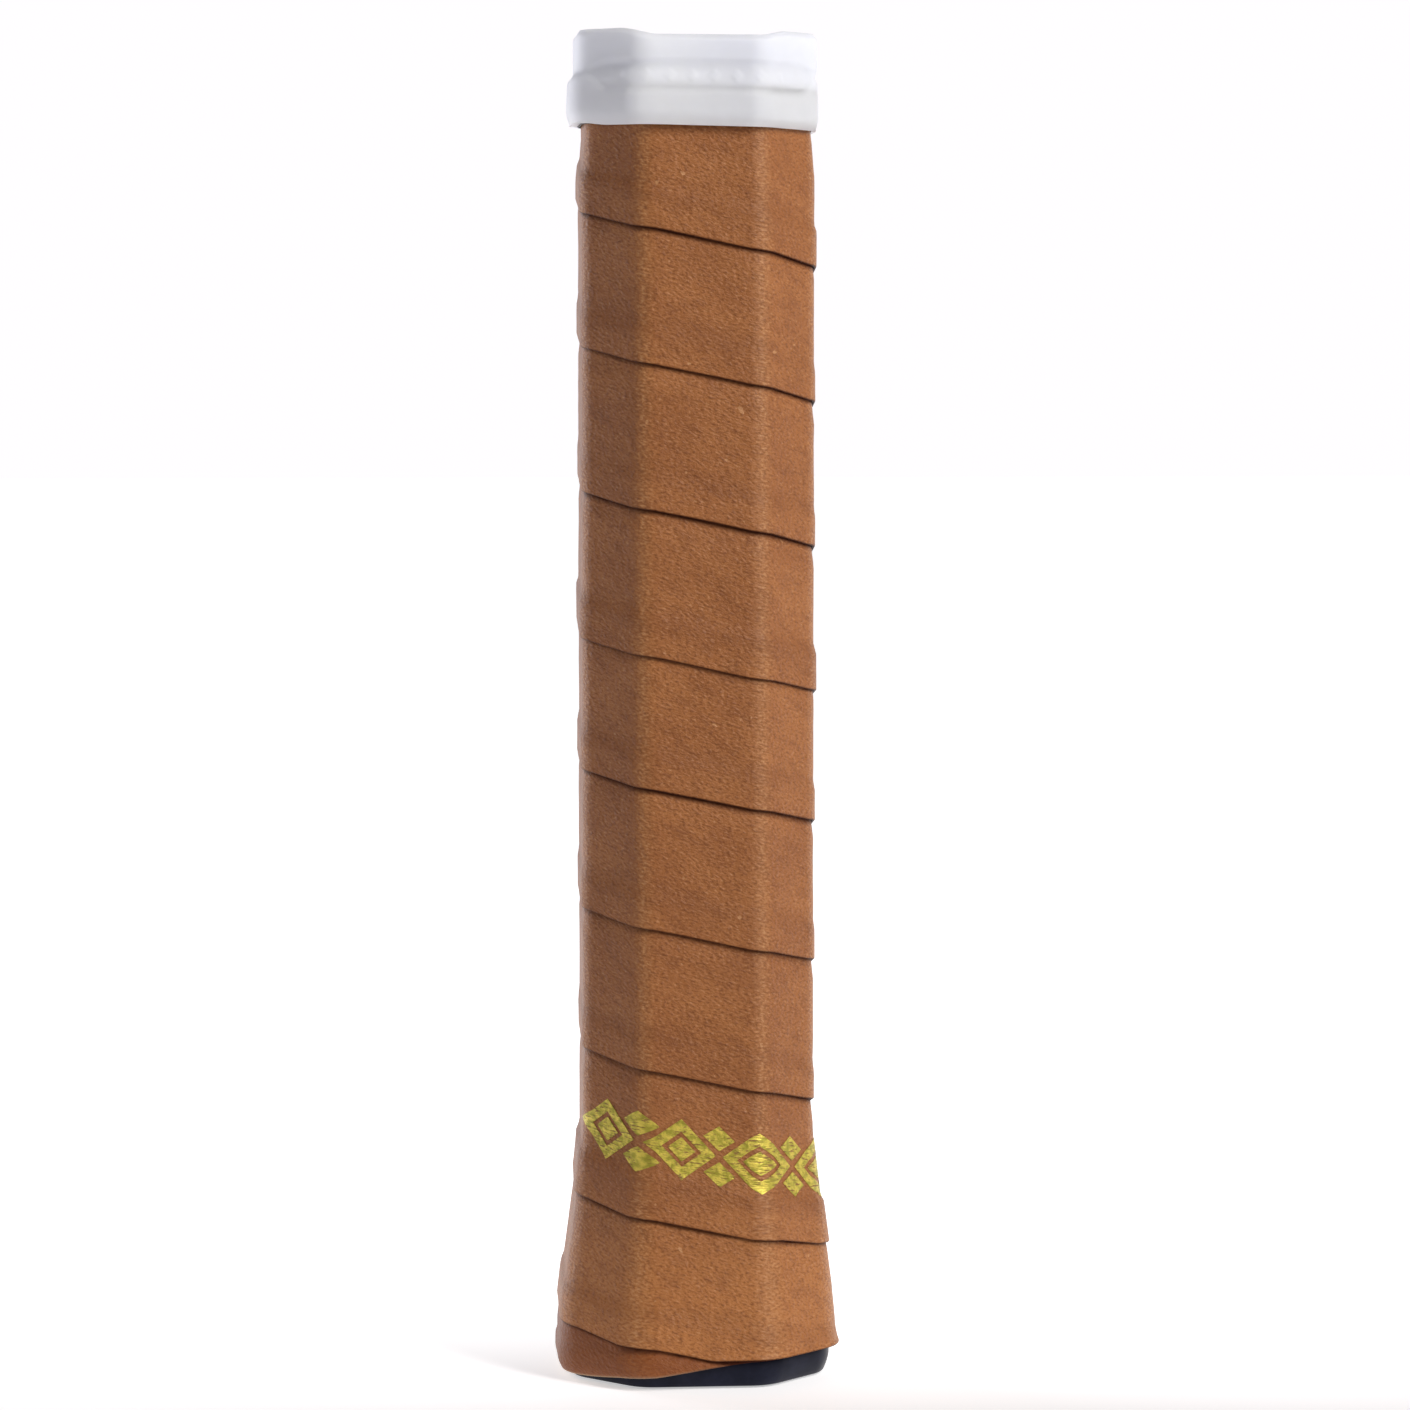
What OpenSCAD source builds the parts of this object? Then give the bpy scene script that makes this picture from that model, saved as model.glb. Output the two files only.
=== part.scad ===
// Wrapped tennis racket handle: two carbon hairpin legs in a foam pallet, a
// flared butt cap with a trap door, a leather grip wound in a helix, a collar.
// X runs across the handle in the string plane, -Y is the stamped front face,
// +Z runs up the handle towards the frame. The origin is the centre of the foot.

/* [Handle] */
// Width across the wound leather
grip_w = 34; // [33:0.5:36]
// Depth across the wound leather
grip_d = 29.4; // [28.4:0.2:31]
// Leg of each 45 degree chamfer, over the leather
grip_chamfer = 8.2; // [7.6:0.1:8.6]
// Height from the foot to the top of the collar
handle_h = 197; // [194:1:200]

/* [Leather strip] */
// Width of the strip
strip_w = 24.5; // [23.5:0.1:25]
// Thickness in the middle of the strip
strip_t = 1.25; // [1.1:0.05:1.3]
// Thickness at its skived edges
edge_t = 0.5; // [0.4:0.05:0.6]
// Width of each skive
skive_w = 6.5; // [6.2:0.1:7]
// Rise per turn
pitch = 20.26; // [20:0.02:20.5]
// Height of the strip's lower edge where it first passes the front's middle
first_edge_z = 4.4; // [4.3:0.1:5]

/* [Butt cap] */
// How far the cap flares out below the straight handle
flare = 3.4; // [3:0.1:3.6]
// How far the lip stands out from the straight handle
lip_out = 3.9; // [3.7:0.1:4.1]
// Height of the lip that the leather's edge sits on
lip_h = 4; // [3.8:0.1:4.2]
// Thickness of the cap's floor
floor_t = 3.2; // [3:0.1:3.6]
// Height of the cap's skirt
skirt_h = 37.5; // [37:0.5:39]

/* [Collar] */
// Height of the collar
collar_h = 14.4; // [13.5:0.1:15]
// How far the collar's lower bead stands out from the bare handle
bead_out = 2.55; // [2.4:0.05:2.8]

/* [Hairpin legs] */
// Width of one leg
leg_w = 12.2; // [11.6:0.1:12.4]
// Depth of one leg
leg_d = 17.8; // [17.4:0.1:18]
// Wall of one leg
leg_wall = 1.4; // [1.2:0.1:1.8]

/* [Hidden] */
$fn = 48;

// Bare handle: the octagon that the leather is wound on, with rounded corners
glue_gap = 0.25;
lay_t = glue_gap + strip_t;
core_a = grip_w / 2 - lay_t;
core_b = grip_d / 2 - lay_t;
core_c = grip_chamfer - lay_t * (2 - sqrt(2));
core_r = 2;

// The outline has 8 corners of 3 points each, clockwise from above, from the
// front face's left corner
function octagon(a, b, c) = [
    [c - a, -b], [-a, c - b], [-a, b - c], [c - a, b],
    [a - c, b], [a, b - c], [a, c - b], [a - c, -b]
];
CORNERS = octagon(core_a, core_b, core_c);
per_turn = 24;
function unit(v) = v / norm(v);
function corner(k) = CORNERS[(k + 8) % 8];
function outline_point(i) =
    let (k = floor(i / 3), p = corner(k))
    let (to_last = unit(corner(k - 1) - p), to_next = unit(corner(k + 1) - p))
    let (tangent = core_r * tan(22.5), sag = core_r * (1 / cos(22.5) - 1))
    i % 3 == 0 ? p + to_last * tangent
    : i % 3 == 2 ? p + to_next * tangent
    : p + unit(to_last + to_next) * sag;
function outline_normal(i) =
    let (k = floor(i / 3), p = corner(k))
    let (along_in = unit(p - corner(k - 1)), along_out = unit(corner(k + 1) - p))
    let (along = i % 3 == 0 ? along_in : i % 3 == 2 ? along_out : unit(along_in + along_out))
    [-along[1], along[0]];
RING = [for (i = [0:per_turn - 1]) outline_point(i)];
OUTWARD = [for (i = [0:per_turn - 1]) outline_normal(i)];

// Distance along the outline of each point, from the middle of the front face
ALONG = [
    for (i = 0, s = core_a - core_c - core_r * tan(22.5);
         i < per_turn;
         s = s + norm(RING[(i + 1) % per_turn] - RING[i]), i = i + 1) s
];
turn_len = ALONG[per_turn - 1] + core_a - core_c - core_r * tan(22.5);

// The flare of the cap: how far the seat of the leather stands out at a height
flare_top = 36.5;
flare_len = 30;
function flare_at(z) =
    let (t = max(0, min(1, (flare_top - z) / flare_len)))
    flare * (0.6 * t + 0.4 * t * t * (3 - 2 * t));

// The leather and what lies on it thin out where the collar squeezes them
squeeze_top = 181.5;
squeeze_len = 6;
squeezed = 0.7;
function squeeze(z) =
    let (t = max(0, min(1, (z - squeeze_top + squeeze_len) / squeeze_len)))
    1 - (1 - squeezed) * t;

// Outline of the bare handle, moved out by d
module outline(d) {
    polygon([for (i = [0:per_turn - 1]) RING[i] + d * OUTWARD[i]]);
}

// The same octagon with sharp corners, moved in by d: the door and its opening
module door_outline(d) {
    polygon(octagon(core_a - d, core_b - d, core_c - d * (2 - sqrt(2))));
}

// A closed solid through rings of equal size, given from its bottom up. The
// quads' diagonals run the same way on both faces of a thin ring
module loft(rings) {
    n = len(rings[0]);
    m = len(rings);
    sides = [
        for (j = [0:m - 2], i = [0:n - 1])
            let (k = (i + 1) % n)
            let (a = j * n + i, b = a + n, c = (j + 1) * n + k, d = j * n + k)
            each 2 * i < n ? [[a, b, c], [a, c, d]] : [[a, b, d], [b, c, d]]
    ];
    first = [for (i = [0:n - 1]) i];
    last = [for (i = [0:n - 1]) m * n - 1 - i];
    polyhedron([for (r = rings) each r], concat([first], sides, [last]), convexity = 10);
}
// Rings of the handle's outline: each level is [height, how far out]
function level_rings(levels) = [
    for (l = levels)
        [for (i = [0:per_turn - 1]) let (p = RING[i] + l[1] * OUTWARD[i]) [p[0], p[1], l[0]]]
];

// Heights of the strip's lower edge: a helix with the small drift of hand winding
DRIFT = [0, -1.7, -0.4, 0, 0.2, -1, 0, 0.8, 0, 0];
function drift_at(turns) =
    let (t = max(0, min(len(DRIFT) - 1.001, turns)), k = floor(t), f = t - k)
    DRIFT[k] * (1 - f) + DRIFT[k + 1] * f;
function edge_z(s) = first_edge_z + pitch * s / turn_len + drift_at(s / turn_len);
function thickness(v) =
    edge_t + (strip_t - edge_t) * min(1, v / skive_w, (strip_w - v) / skive_w);

// Under side of the strip at v above its lower edge: it lies on the turn below,
// then comes down to the handle
layer_gap = 0.05;
step_w = 1.5;
function under(s, v) =
    let (below = edge_z(s) + v - edge_z(s - turn_len))
    let (lap = strip_w - below)
    lap >= 0 ? glue_gap + thickness(below) + layer_gap
    : max(glue_gap, glue_gap + (edge_t + layer_gap) * (1 + lap / step_down(s)));
function step_down(s) = max(step_w, skive_w - lap_w(s));
function lap_w(s) = strip_w - edge_z(s) + edge_z(s - turn_len);
function lap_next(s) = edge_z(s + turn_len) - edge_z(s);

// Places across the strip where its section bends, from the lower edge up
function under_places(s) =
    [0, lap_w(s), lap_w(s) + step_down(s), strip_w / 2, strip_w - skive_w, strip_w];
function over_places(s) = [
    0, lap_w(s), lap_w(s) + step_down(s), strip_w / 2, strip_w - skive_w, lap_next(s), strip_w
];

// The strip is trimmed along the lip and below the collar's shoulder
rest_gap = 0.15;
trim_low = lip_h + rest_gap;
trim_high = 186;
sliver = 0.05;
function trimmed(places, s) =
    let (n = len(places), low = trim_low - edge_z(s), high = trim_high - edge_z(s))
    [for (c = [0:n - 1]) min(max(places[c], low + c * sliver), high - (n - 1 - c) * sliver)];

function at(i, out, z) =
    let (p = RING[i] + (flare_at(z) + out * squeeze(z)) * OUTWARD[i]) [p[0], p[1], z];
function s_of(j) =
    let (turn = floor(j / per_turn)) turn * turn_len + ALONG[j - turn * per_turn];
function i_of(j) = j - floor(j / per_turn) * per_turn;
function strip_section(j) =
    let (s = s_of(j), i = i_of(j), z0 = edge_z(s))
    let (over = trimmed(over_places(s), s), below = trimmed(under_places(s), s))
    concat(
        [for (v = over) at(i, under(s, v) + thickness(v), z0 + v)],
        [for (c = [len(below) - 1:-1:0]) at(i, under(s, below[c]), z0 + below[c])]
    );
// A thin band that follows the strip: its places across and, at each of them, how
// far out its upper and its lower face lie
function band_section(j, places, top, bottom) =
    let (i = i_of(j), z0 = edge_z(s_of(j)), n = len(places))
    concat(
        [for (c = [0:n - 1]) at(i, top[c], z0 + places[c])],
        [for (c = [n - 1:-1:0]) at(i, bottom[c], z0 + places[c])]
    );

// First and last steps of the winding, in outline points from the front's middle
tip_z = 1.2;
first_step = ceil((trim_low + tip_z - strip_w - first_edge_z) / pitch * per_turn);
last_step = floor((trim_high - 1 - first_edge_z) / pitch * per_turn);

// Hairpin legs
leg_r = 4.5;
leg_gap = 0.5;
leg_bottom = 9;
leg_top = handle_h - 3.5;
leg_x = (leg_w + leg_gap) / 2;
tape_t = 0.2;
fit_gap = 0.03;
module rounded_box(w, d, r, h) {
    for (turn = [0, 1]) {
        size = turn == 0 ? [w, d - 2 * r, h] : [w - 2 * r, d, h];
        translate([-size[0] / 2, -size[1] / 2, 0]) cube(size);
    }
    for (x = [r - w / 2, w / 2 - r], y = [r - d / 2, d / 2 - r]) {
        translate([x, y, 0]) cylinder(h = h, r = r);
    }
}
module hairpin_leg(side) {
    translate([side * leg_x, 0, leg_bottom]) difference() {
        rounded_box(leg_w, leg_d, leg_r, leg_top - leg_bottom);
        translate([0, 0, -1])
            rounded_box(leg_w - 2 * leg_wall, leg_d - 2 * leg_wall, leg_r - leg_wall,
                        leg_top - leg_bottom + 2);
    }
}
module hairpin_core(side) {
    inset = 2 * (leg_wall + fit_gap);
    translate([side * leg_x, 0, leg_bottom + 0.5])
        rounded_box(leg_w - inset, leg_d - inset, leg_r - leg_wall - fit_gap,
                    leg_top - leg_bottom - 1.5);
}
module hairpin_leg_left() { color("#23252a") hairpin_leg(-1); }
module hairpin_leg_right() { color("#23252a") hairpin_leg(1); }
module hairpin_core_left() { color("#d9cfa4") hairpin_core(-1); }
module hairpin_core_right() { color("#d9cfa4") hairpin_core(1); }

// Foam pallets: two half shells around the legs, stepped in where the cap's
// skirt slides over them
pallet_top = leg_top - 1.5;
sleeve_in = 1.4;
channel_w = 2 * leg_w + leg_gap + 2 * fit_gap;
channel_d = leg_d + 2 * tape_t + 2 * fit_gap;
module pallet(side) {
    intersection() {
        difference() {
            union() {
                translate([0, 0, leg_bottom])
                    linear_extrude(pallet_top - leg_bottom) outline(-sleeve_in);
                translate([0, 0, skirt_h + rest_gap])
                    linear_extrude(pallet_top - skirt_h - rest_gap) outline(0);
            }
            translate([0, 0, leg_bottom - 1])
                rounded_box(channel_w, channel_d, leg_r, pallet_top - leg_bottom + 2);
        }
        translate([-grip_w, side < 0 ? -grip_d : 0, 0]) cube([2 * grip_w, grip_d, handle_h]);
    }
}
module pallet_front() { color("#cfc7b4") pallet(-1); }
module pallet_back() { color("#cfc7b4") pallet(1); }

// Double-sided tape between the legs' flat sides and the pallets
pad_w = 15.5;
pad_h = 150;
pad_z = 26;
module pallet_tape(side) {
    y = side * (leg_d / 2 + fit_gap + tape_t / 2);
    translate([-pad_w / 2, y - tape_t / 2, pad_z]) cube([pad_w, tape_t, pad_h]);
}
module pallet_tape_front() { color("#e9e6dc") pallet_tape(-1); }
module pallet_tape_back() { color("#e9e6dc") pallet_tape(1); }

// Butt cap: floor with a door opening, bevelled lip, flared skirt
foot_out = lip_out - 0.8;
foot_h = 0.5;
foot_trim = 1;
bevel_z = 2.4;
skirt_fit = 0.05;
door_seat_in = 2.2;
door_seat_h = 1.7;
door_hole_in = 4;
SKIRT_LEVELS = [
    [-foot_trim, foot_out], [foot_h, foot_out], [foot_h + 0.8, foot_out + 0.5],
    [bevel_z, lip_out], [lip_h, lip_out],
    for (z = [lip_h, flare_top - flare_len, each [9:3.5:33.5], flare_top]) [z, flare_at(z)],
    [skirt_h, 0]
];
cavity_z = floor_t;
module butt_cap() {
    color("#23283a") difference() {
        loft(level_rings(SKIRT_LEVELS));
        translate([-grip_w, -grip_w, -2 * foot_trim]) cube([2 * grip_w, 2 * grip_w, 2 * foot_trim]);
        translate([0, 0, cavity_z]) linear_extrude(skirt_h) outline(skirt_fit - sleeve_in);
        translate([0, 0, -1]) linear_extrude(skirt_h) door_outline(door_hole_in);
        translate([0, 0, -1]) linear_extrude(door_seat_h + 1) door_outline(door_seat_in);
        for (side = [-1, 1], x = [-staple_x, staple_x]) {
            translate([x, side * (staple_y + groove_depth / 2), staple_z])
                cube([staple_w + 0.1, groove_depth, staple_wire[1] + 0.1], center = true);
        }
    }
}

// Trap door: flange in the seat, plug wall split into fingers, badge pocket
door_play = 0.12;
door_lift = 0.4;
plug_wall = 1.1;
plug_top = 5.2;
slot_w = 2;
badge_in = 5.4;
badge_depth = 0.45;
door_floor = door_seat_h - 0.05;
module trap_door() {
    color("#2b3145") difference() {
        union() {
            translate([0, 0, door_lift])
                linear_extrude(door_floor - door_lift) door_outline(door_seat_in + door_play);
            translate([0, 0, door_lift])
                linear_extrude(plug_top - door_lift) door_outline(door_hole_in + door_play);
        }
        translate([0, 0, door_floor])
            linear_extrude(plug_top) door_outline(door_hole_in + door_play + plug_wall);
        translate([0, 0, door_lift - 1])
            linear_extrude(badge_depth + 1) door_outline(badge_in - fit_gap);
        for (x = [-5, 5]) {
            translate([x - slot_w / 2, -grip_d, door_floor + 0.2])
                cube([slot_w, 2 * grip_d, plug_top]);
        }
        for (y = [-4, 4]) {
            translate([-grip_w, y - slot_w / 2, door_floor + 0.2])
                cube([2 * grip_w, slot_w, plug_top]);
        }
    }
}
module door_badge() {
    color("#b9bcc4")
        translate([0, 0, door_lift - 0.12])
            linear_extrude(badge_depth + 0.1) door_outline(badge_in);
}

// Two staples through the skirt on each broad face, sunk into short grooves
staple_w = 6;
staple_wire = [0.5, 0.9];
staple_leg = 3;
staple_z = 27;
staple_x = 4;
staple_sunk = 0.35;
staple_y = core_b + flare_at(staple_z) - staple_wire[0] - staple_sunk;
groove_depth = 2;
module staple(side) {
    translate([0, side * staple_y, staple_z - staple_wire[1] / 2]) {
        translate([-staple_w / 2, side < 0 ? -staple_wire[0] : 0, 0])
            cube([staple_w, staple_wire[0], staple_wire[1]]);
        for (x = [-staple_w / 2, staple_w / 2 - staple_wire[0]]) {
            translate([x, side < 0 ? 0 : -staple_leg, 0])
                cube([staple_wire[0], staple_leg, staple_wire[1]]);
        }
    }
}
module butt_staples() {
    color("#b4b6ba") for (side = [-1, 1], x = [-staple_x, staple_x]) {
        translate([x, 0, 0]) staple(side);
    }
}

// The tack that holds the strip's tapered start, under its second turn
tack_z = 7;
tack_head = [1.5, 0.3];
tack_pin = [0.45, 4];
module start_tack() {
    y = -(core_b + flare_at(tack_z) + glue_gap + edge_t);
    color("#a9abb0") translate([-1, y, tack_z]) {
        rotate([90, 0, 0]) cylinder(h = tack_head[1], r = tack_head[0]);
        rotate([-90, 0, 0]) cylinder(h = tack_pin[1], r = tack_pin[0]);
    }
}

// Leather strip and the double-sided tape under the part of it that has no lap
glue_out = [0.1, 0.2];
first_glue_step = ceil((trim_low - skive_w - first_edge_z) / pitch * per_turn) + 2;
last_glue_step = last_step - per_turn + 2;
function glue_places(s) = [for (c = [2:4]) under_places(s)[c]];
function glue_section(j) =
    band_section(j, glue_places(s_of(j)), glue_out[1] * [1, 1, 1], glue_out[0] * [1, 1, 1]);
module grip_adhesive() {
    color("#e6e2d4") loft([for (j = [first_glue_step:last_glue_step]) glue_section(j)]);
}
module grip_strip() {
    color("#95623f") loft([for (j = [first_step:last_step]) strip_section(j)]);
}

// Foil stamp across the front face and both its chamfers, one turn up
foil_t = 0.05;
foil_lift = 0.02;
function foil_section(j) =
    let (s = s_of(j), v = over_places(s), places = [v[2], v[4]])
    let (out = [for (p = places) under(s, p) + thickness(p) + foil_lift])
    band_section(j, places, out + foil_t * [1, 1], out);
module foil_stamp() {
    color("#ac9240") loft([for (j = [per_turn - 4:per_turn + 3]) foil_section(j)]);
}

// Finishing tape around the strip's upper end
finish_out = [1.33, 1.48];
finish_z = [183.2, 188];
module finishing_tape() {
    color("#1d1e22") difference() {
        translate([0, 0, finish_z[0]])
            linear_extrude(finish_z[1] - finish_z[0]) outline(finish_out[1]);
        linear_extrude(handle_h) outline(finish_out[0]);
    }
}

// Collar: a soft ring with a bead below, a waist, and a straight cuff above
collar_z = handle_h - collar_h;
cuff_out = 1.75;
seat_out = 1.62;
neck_out = 0.3;
neck_z = finish_z[1] + 0.4;
COLLAR_LEVELS = [
    [0, 2.1], [0.5, 2.4], [1.4, bead_out - 0.05], [3.4, bead_out], [5, 2.45], [6.2, 2.2],
    [7.2, 1.85], [8, cuff_out], [12.9, cuff_out], [13.8, cuff_out - 0.25], [collar_h, 1.2]
];
module collar() {
    color("#e6e6f0") difference() {
        loft(level_rings([for (l = COLLAR_LEVELS) [collar_z + l[0], l[1]]]));
        translate([0, 0, collar_z - 1])
            linear_extrude(neck_z - collar_z + 1) outline(seat_out);
        translate([0, 0, collar_z]) linear_extrude(collar_h + 1) outline(neck_out);
    }
}

hairpin_leg_left();
hairpin_leg_right();
hairpin_core_left();
hairpin_core_right();
pallet_front();
pallet_back();
pallet_tape_front();
pallet_tape_back();
butt_cap();
butt_staples();
trap_door();
door_badge();
start_tack();
grip_adhesive();
grip_strip();
foil_stamp();
finishing_tape();
collar();
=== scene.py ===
"""Looks for a wound tennis racket handle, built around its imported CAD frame.

Lengths are in millimetres inside the shape functions, which share the CAD's
winding rule, and become metres when a mesh is made.
"""

import math

import bpy
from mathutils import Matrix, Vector, noise


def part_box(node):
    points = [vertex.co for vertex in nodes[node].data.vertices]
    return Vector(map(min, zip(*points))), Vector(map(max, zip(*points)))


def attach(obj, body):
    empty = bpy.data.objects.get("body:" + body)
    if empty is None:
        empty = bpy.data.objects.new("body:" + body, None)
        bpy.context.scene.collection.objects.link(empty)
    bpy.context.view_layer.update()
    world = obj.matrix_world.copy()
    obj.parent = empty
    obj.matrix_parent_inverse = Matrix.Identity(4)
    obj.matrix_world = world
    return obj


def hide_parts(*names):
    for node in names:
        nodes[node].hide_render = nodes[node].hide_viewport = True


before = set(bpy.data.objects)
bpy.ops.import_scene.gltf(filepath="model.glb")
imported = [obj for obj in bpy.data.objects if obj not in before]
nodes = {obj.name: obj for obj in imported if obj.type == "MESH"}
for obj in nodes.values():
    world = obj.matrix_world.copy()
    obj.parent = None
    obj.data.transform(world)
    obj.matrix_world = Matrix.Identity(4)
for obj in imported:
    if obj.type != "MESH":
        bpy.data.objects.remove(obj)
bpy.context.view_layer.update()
MM = 0.001


def box_mm(node):
    low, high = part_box(node)
    return low / MM, high / MM


# ---------------------------------------------------------------- dimensions
PALLET_LOW, PALLET_HIGH = box_mm("pallet_front")
CAP_HIGH = box_mm("butt_cap")[1]
COLLAR_LOW, COLLAR_HIGH = box_mm("collar")
STRIP_HIGH = box_mm("grip_strip")[1]

# The octagon of the foam handle: half width, half depth, chamfer, corner radius.
CORE_A = PALLET_HIGH.x
CORE_B = -PALLET_LOW.y
CORE_C = 7.32
CORE_R = 3.0

# The leather strip: its section, and its pitch and lower edge on the handle.
GLUE_GAP = 0.25
STRIP_W = 24.5
STRIP_T = 1.25
EDGE_T = 0.5
SKIVE_W = 6.5
PITCH = 20.26
FIRST_EDGE_Z = 4.4
# How far each turn strays from an even pitch, from the foot up.
DRIFT = [0, -1.7, -0.4, 0, 0.2, -1.0, 0, 0.8, 0, 0]
LAYER_GAP = 0.05
STEP_W = 1.5
WAVER = 0.16
UNEVEN = 0.07
UNEVEN_FINE = 0.03

# The cap: its flare under the leather, and the lip and foot below it.
FLARE = 3.4
FLARE_TOP = 36.5
FLARE_LEN = 30.0
LIP_OUT = CAP_HIGH.x - CORE_A
LIP_H = 4.0
LIP_BLEND = 1.2
FOOT_OUT = LIP_OUT - 0.8
BEVEL_Z = 2.4

# The strip is pressed thinner where the collar covers it.
SQUEEZE_TOP = 181.5
SQUEEZE_LEN = 6.0
SQUEEZED = 0.7


def clamp(x, low=0.0, high=1.0):
    return max(low, min(high, x))


def smooth(x):
    t = clamp(x)
    return t * t * (3 - 2 * t)


def lerp(a, b, t):
    return a + (b - a) * t


def wave(x, y=0.0, z=0.0):
    """Smooth noise from -1 to 1, the same on every run."""
    return noise.noise(Vector((x, y, z)))


# ------------------------------------------------------------------- outline
class Outline:
    """An octagon with round corners, walked clockwise from above.

    Distance along it starts in the middle of the front face, and place() gives
    the point and the outward direction there.
    """

    def __init__(self, a, b, c, r):
        corners = [
            (c - a, -b), (-a, c - b), (-a, b - c), (c - a, b),
            (a - c, b), (a, b - c), (a, c - b), (a - c, -b),
        ]
        tangent = r * math.tan(math.radians(22.5))
        self.r = r
        self.flats = []
        for k in range(8):
            start, end = Vector(corners[k - 1]), Vector(corners[k])
            along = (end - start).normalized()
            length = (end - start).length - 2 * tangent
            self.flats.append((start + along * tangent, along, length))
        self.arc = r * math.radians(45)
        self.length = sum(flat[2] + self.arc for flat in self.flats)
        self.lead = self.flats[0][2] / 2

    def place(self, s):
        left = (s + self.lead) % self.length
        for start, along, length in self.flats:
            out = Vector((-along.y, along.x))
            if left <= length:
                return start + along * left, out
            left -= length
            if left <= self.arc:
                centre = start + along * length - out * self.r
                turn = -left / max(self.r, 1e-9)
                out = Vector((
                    out.x * math.cos(turn) - out.y * math.sin(turn),
                    out.x * math.sin(turn) + out.y * math.cos(turn),
                ))
                return centre + out * self.r, out
            left -= self.arc
        start, along, length = self.flats[0]
        return start, Vector((-along.y, along.x))

    def stops(self, flat_step, arc_steps):
        """Distances along one lap, dense round the corners."""
        found = []
        s = -self.lead
        for _, _, length in self.flats:
            count = max(1, round(length / flat_step))
            found += [s + length * i / count for i in range(count)]
            s += length
            found += [s + self.arc * i / arc_steps for i in range(arc_steps)]
            s += self.arc
        return found


CORE = Outline(CORE_A, CORE_B, CORE_C, CORE_R)
LAP = CORE.length


# -------------------------------------------------------------- winding rule
def flare_at(z):
    t = clamp((FLARE_TOP - z) / FLARE_LEN)
    return FLARE * (0.6 * t + 0.4 * smooth(t))


def squeeze(z):
    """How much of its thickness the winding keeps at a height."""
    return 1 - (1 - SQUEEZED) * clamp((z - SQUEEZE_TOP + SQUEEZE_LEN) / SQUEEZE_LEN)


def lip_at(z):
    """How far the cap's lip stands out below the leather's seat."""
    if z < BEVEL_Z:
        return lerp(FOOT_OUT, LIP_OUT, smooth(z / BEVEL_Z))
    return LIP_OUT


def seat_at(z):
    """How far out the surface under the leather lies at a height."""
    over_lip = smooth((LIP_H + LIP_BLEND - z) / LIP_BLEND)
    return lerp(flare_at(z), lip_at(z) - GLUE_GAP + LAYER_GAP, over_lip)


def edge_z(s):
    """Height of the strip's lower edge after a distance round the handle."""
    turns = clamp(s / LAP, 0, len(DRIFT) - 1.001)
    k = int(turns)
    drift = lerp(DRIFT[k], DRIFT[k + 1], smooth(turns - k))
    return FIRST_EDGE_Z + PITCH * s / LAP + drift + WAVER * wave(s / 13, 3.1)


def thickness(v):
    """Thickness of the strip at a place across it: thin along both edges."""
    return EDGE_T + (STRIP_T - EDGE_T) * clamp(min(v, STRIP_W - v) / SKIVE_W)


def under(s, v):
    """Under side of the strip: on the turn below, then down to the handle."""
    lap_w = STRIP_W - edge_z(s) + edge_z(s - LAP)
    if v <= lap_w:
        return GLUE_GAP + thickness(STRIP_W - lap_w + v) + LAYER_GAP
    down = max(STEP_W, SKIVE_W - lap_w)
    return GLUE_GAP + (EDGE_T + LAYER_GAP) * (1 - smooth((v - lap_w) / down))


def rough(s, v):
    """Small unevenness of hand-wound leather."""
    return UNEVEN * wave(s / 9, v / 6, 1.7) + UNEVEN_FINE * wave(s / 3.1, v / 2.3, 8.2)


def over(s, v):
    return under(s, v) + thickness(v) + rough(s, v)


TRIM_HIGH = STRIP_HIGH.z
TRIM_LOW = LIP_H + 0.15
RAW_LOW = 0.7
HANG_FROM = -13
HANG_RISE = 32
HANG_TO = 36
HANG_FALL = 40


def hang_at(s):
    """1 where the strip's first lap hangs over the lip."""
    from_front = s + LAP
    rise = smooth((from_front - HANG_FROM) / HANG_RISE)
    return rise * (1 - smooth((from_front - HANG_TO) / HANG_FALL))


def trim_low(s):
    """The raw lower edge runs along the lip and, where it hangs, below it."""
    return lerp(TRIM_LOW, RAW_LOW, hang_at(s))


def seat_point(s, out, z):
    """A point at a distance out from the seat, in metres."""
    p, n = CORE.place(s)
    p = p + n * (seat_at(z) + out * squeeze(z))
    return Vector((p.x, p.y, z)) * MM


# --------------------------------------------------------------- mesh helpers
def make_piece(name, points, faces, body, attributes=None, sharp=None):
    mesh = bpy.data.meshes.new(name)
    mesh.from_pydata([tuple(p) for p in points], [], faces)
    for key, values in (attributes or {}).items():
        layer = mesh.attributes.new(key, "FLOAT", "POINT")
        layer.data.foreach_set("value", values)
    mesh.validate()
    mesh.update()
    piece = bpy.data.objects.new(name, mesh)
    bpy.context.scene.collection.objects.link(piece)
    mesh.polygons.foreach_set("use_smooth", [True] * len(mesh.polygons))
    if sharp:
        mesh.set_sharp_from_angle(angle=math.radians(sharp))
    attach(piece, body)
    return piece


def tube_faces(rings, per_ring, closed_way=False):
    """Faces of a tube of rings; closed_way joins its last ring to its first."""
    faces = []
    laps = rings if closed_way else rings - 1
    for j in range(laps):
        below, above = j * per_ring, (j + 1) % rings * per_ring
        for i in range(per_ring):
            k = (i + 1) % per_ring
            faces.append((below + i, above + i, above + k, below + k))
    if not closed_way:
        faces.append(tuple(range(per_ring)))
        faces.append(tuple(reversed(range((rings - 1) * per_ring, rings * per_ring))))
    return faces


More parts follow.
